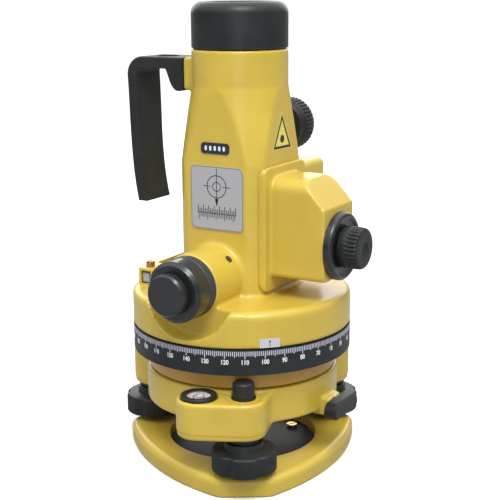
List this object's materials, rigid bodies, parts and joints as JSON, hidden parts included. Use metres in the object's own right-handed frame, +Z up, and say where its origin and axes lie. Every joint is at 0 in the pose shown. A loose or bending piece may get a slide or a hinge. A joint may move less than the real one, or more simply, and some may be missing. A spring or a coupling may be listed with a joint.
{
  "type": "laser plummet on tribrach",
  "caption": "Zenith and nadir laser plumbing instrument: upright sighting column on a graduated circle and a three-screw tribrach, with side knobs and a carrying handle.",
  "frame": {"origin": "on the plumb axis, at the underside of the tribrach base plate", "axes": "+Z up along the plumb axis; label face towards -Y, laser housing on +X, battery housing on +Y, handle on -X"},
  "size_m": [0.163, 0.1548, 0.2705],
  "materials": {
    "yellow_casting": "cast aluminium, satin stove enamel over a fine cast texture",
    "black_plastic": "satin moulded plastic",
    "black_anodised": "black anodised",
    "circle_black": "black anodised, engraved white figures",
    "steel": "ground",
    "brass": "turned",
    "bronze": "bored and lapped",
    "clear_glass": "polished",
    "level_glass": "polished, tinted spirit",
    "silver_plate": "etched satin plate",
    "serial_blue": "anodised plate",
    "white_plate": "printed plate",
    "black_painted_steel": "black lacquer",
    "green_board": "glass-fibre board",
    "cell_wrap": "printed sleeve",
    "alloy": "machined"
  },
  "bodies": {
    "base": {"base_plate": "yellow_casting", "thread_insert": "brass", "spring_plate": "black_painted_steel", "spring_plate_screws": "brass"},
    "footscrew_1": {"footscrew_knob_1": "black_plastic", "footscrew_spindle_1": "steel"},
    "footscrew_2": {"footscrew_knob_2": "black_plastic", "footscrew_spindle_2": "steel"},
    "footscrew_3": {"footscrew_knob_3": "black_plastic", "footscrew_spindle_3": "steel"},
    "tribrach": {"tribrach_body": "yellow_casting", "footscrew_bushes": "black_anodised", "footscrew_caps": "black_plastic", "circular_level_case": "black_anodised", "circular_level_vial": "level_glass", "centring_flange": "yellow_casting", "vertical_spindle": "steel", "plummet_window": "clear_glass"},
    "lock_lever": {"lock_lever": "black_plastic", "lock_shaft": "steel"},
    "lock_shoe": {"lock_shoe": "brass"},
    "circle": {"circle_ring": "circle_black"},
    "alidade": {"main_housing": "yellow_casting", "drum_floor": "alloy", "spindle_bearing": "bronze", "plummet_laser": "brass", "objective_barrel": "black_anodised", "objective_lens": "clear_glass", "prism_holder": "black_anodised", "prisms": "clear_glass", "reticle": "clear_glass", "eyepiece_base_ring": "black_anodised", "eyepiece_grub_screw": "steel", "laser_housing": "yellow_casting", "laser_module": "brass", "circuit_board": "green_board", "laser_plate": "black_anodised", "battery_housing": "yellow_casting", "battery_cells": "cell_wrap", "plate_level_case": "yellow_casting", "plate_level_vial": "level_glass", "plate_level_screw": "brass", "handle": "black_plastic", "handle_screws": "steel", "label_plate": "silver_plate", "serial_plate": "serial_blue", "index_plate": "white_plate"},
    "top_cap": {"top_cap": "black_plastic"},
    "focusing_cell": {"focusing_cell": "black_anodised", "focusing_lens": "clear_glass", "focusing_rack": "brass"},
    "focusing_knob": {"focusing_knob": "black_plastic", "focusing_pinion": "steel"},
    "eyepiece": {"eyepiece_tube": "black_anodised", "eyepiece_lens": "clear_glass"},
    "diopter_ring": {"diopter_ring": "black_plastic"},
    "eyepiece_cap": {"eyepiece_cap": "black_plastic"},
    "power_knob": {"power_knob": "black_plastic"},
    "battery_cover": {"battery_cover": "yellow_casting"},
    "cover_screw": {"cover_screw": "steel"}
  },
  "joints": [
    {"name": "levelling_lift", "type": "slide", "parent": "base", "child": "tribrach", "axis": [0, 0, 1], "range_m": [-0.0024, 0.003]},
    {"name": "footscrew_1_turn", "type": "hinge", "parent": "base", "child": "footscrew_1", "pos_m": [0.03365, -0.05385, 0.02], "axis": [0, 0, 1], "range_deg": [-1080.5, 1350.5]},
    {"name": "footscrew_2_turn", "type": "hinge", "parent": "base", "child": "footscrew_2", "pos_m": [0.02981, 0.05607, 0.02], "axis": [0, 0, 1], "range_deg": [-1080.5, 1350.5]},
    {"name": "footscrew_3_turn", "type": "hinge", "parent": "base", "child": "footscrew_3", "pos_m": [-0.06346, -0.00222, 0.02], "axis": [0, 0, 1], "range_deg": [-1080.5, 1350.5]},
    {"name": "lock_turn", "type": "hinge", "parent": "tribrach", "child": "lock_lever", "pos_m": [0.067, 0, 0.04], "axis": [1, 0, 0], "range_deg": [0, 90]},
    {"name": "lock_shoe_travel", "type": "slide", "parent": "tribrach", "child": "lock_shoe", "axis": [-1, 0, 0], "range_m": [-0.000375, 0]},
    {"name": "circle_turn", "type": "hinge", "parent": "tribrach", "child": "circle", "pos_m": [0, 0, 0.0765], "axis": [0, 0, 1], "continuous": true},
    {"name": "alidade_turn", "type": "hinge", "parent": "tribrach", "child": "alidade", "pos_m": [0, 0, 0.0843], "axis": [0, 0, 1], "continuous": true},
    {"name": "top_cap_lift", "type": "slide", "parent": "alidade", "child": "top_cap", "axis": [0, 0, 1], "range_m": [0, 0.03]},
    {"name": "focusing_knob_turn", "type": "hinge", "parent": "alidade", "child": "focusing_knob", "pos_m": [0.01, 0.035, 0.1975], "axis": [0, 1, 0], "range_deg": [-140, 140]},
    {"name": "focusing_cell_travel", "type": "slide", "parent": "alidade", "child": "focusing_cell", "axis": [0, 0, 1], "range_m": [-0.0097, 0.0097]},
    {"name": "diopter_turn", "type": "hinge", "parent": "alidade", "child": "diopter_ring", "pos_m": [0, -0.067, 0.116], "axis": [0, -1, 0], "range_deg": [-150, 150]},
    {"name": "eyepiece_travel", "type": "slide", "parent": "alidade", "child": "eyepiece", "axis": [0, -1, 0], "range_m": [-0.0015, 0.0015]},
    {"name": "eyepiece_cap_pull", "type": "slide", "parent": "eyepiece", "child": "eyepiece_cap", "axis": [0, -1, 0], "range_m": [0, 0.03]},
    {"name": "power_knob_turn", "type": "hinge", "parent": "alidade", "child": "power_knob", "pos_m": [0.075, 0, 0.1355], "axis": [1, 0, 0], "range_deg": [0, 300]},
    {"name": "battery_cover_pull", "type": "slide", "parent": "alidade", "child": "battery_cover", "axis": [0, 1, 0], "range_m": [0, 0.05]},
    {"name": "cover_screw_turn", "type": "hinge", "parent": "battery_cover", "child": "cover_screw", "pos_m": [0, 0.052, 0.126], "axis": [0, 1, 0], "continuous": true}
  ],
  "couplings": [
    {"joint": "footscrew_1_turn", "follows": "levelling_lift", "rad_per_m": 7854},
    {"joint": "footscrew_2_turn", "follows": "levelling_lift", "rad_per_m": 7854},
    {"joint": "footscrew_3_turn", "follows": "levelling_lift", "rad_per_m": 7854},
    {"joint": "lock_turn", "follows": "lock_shoe_travel", "rad_per_m": -4184.1},
    {"joint": "focusing_knob_turn", "follows": "focusing_cell_travel", "rad_per_m": 250},
    {"joint": "diopter_turn", "follows": "eyepiece_travel", "rad_per_m": 1666.7}
  ]
}
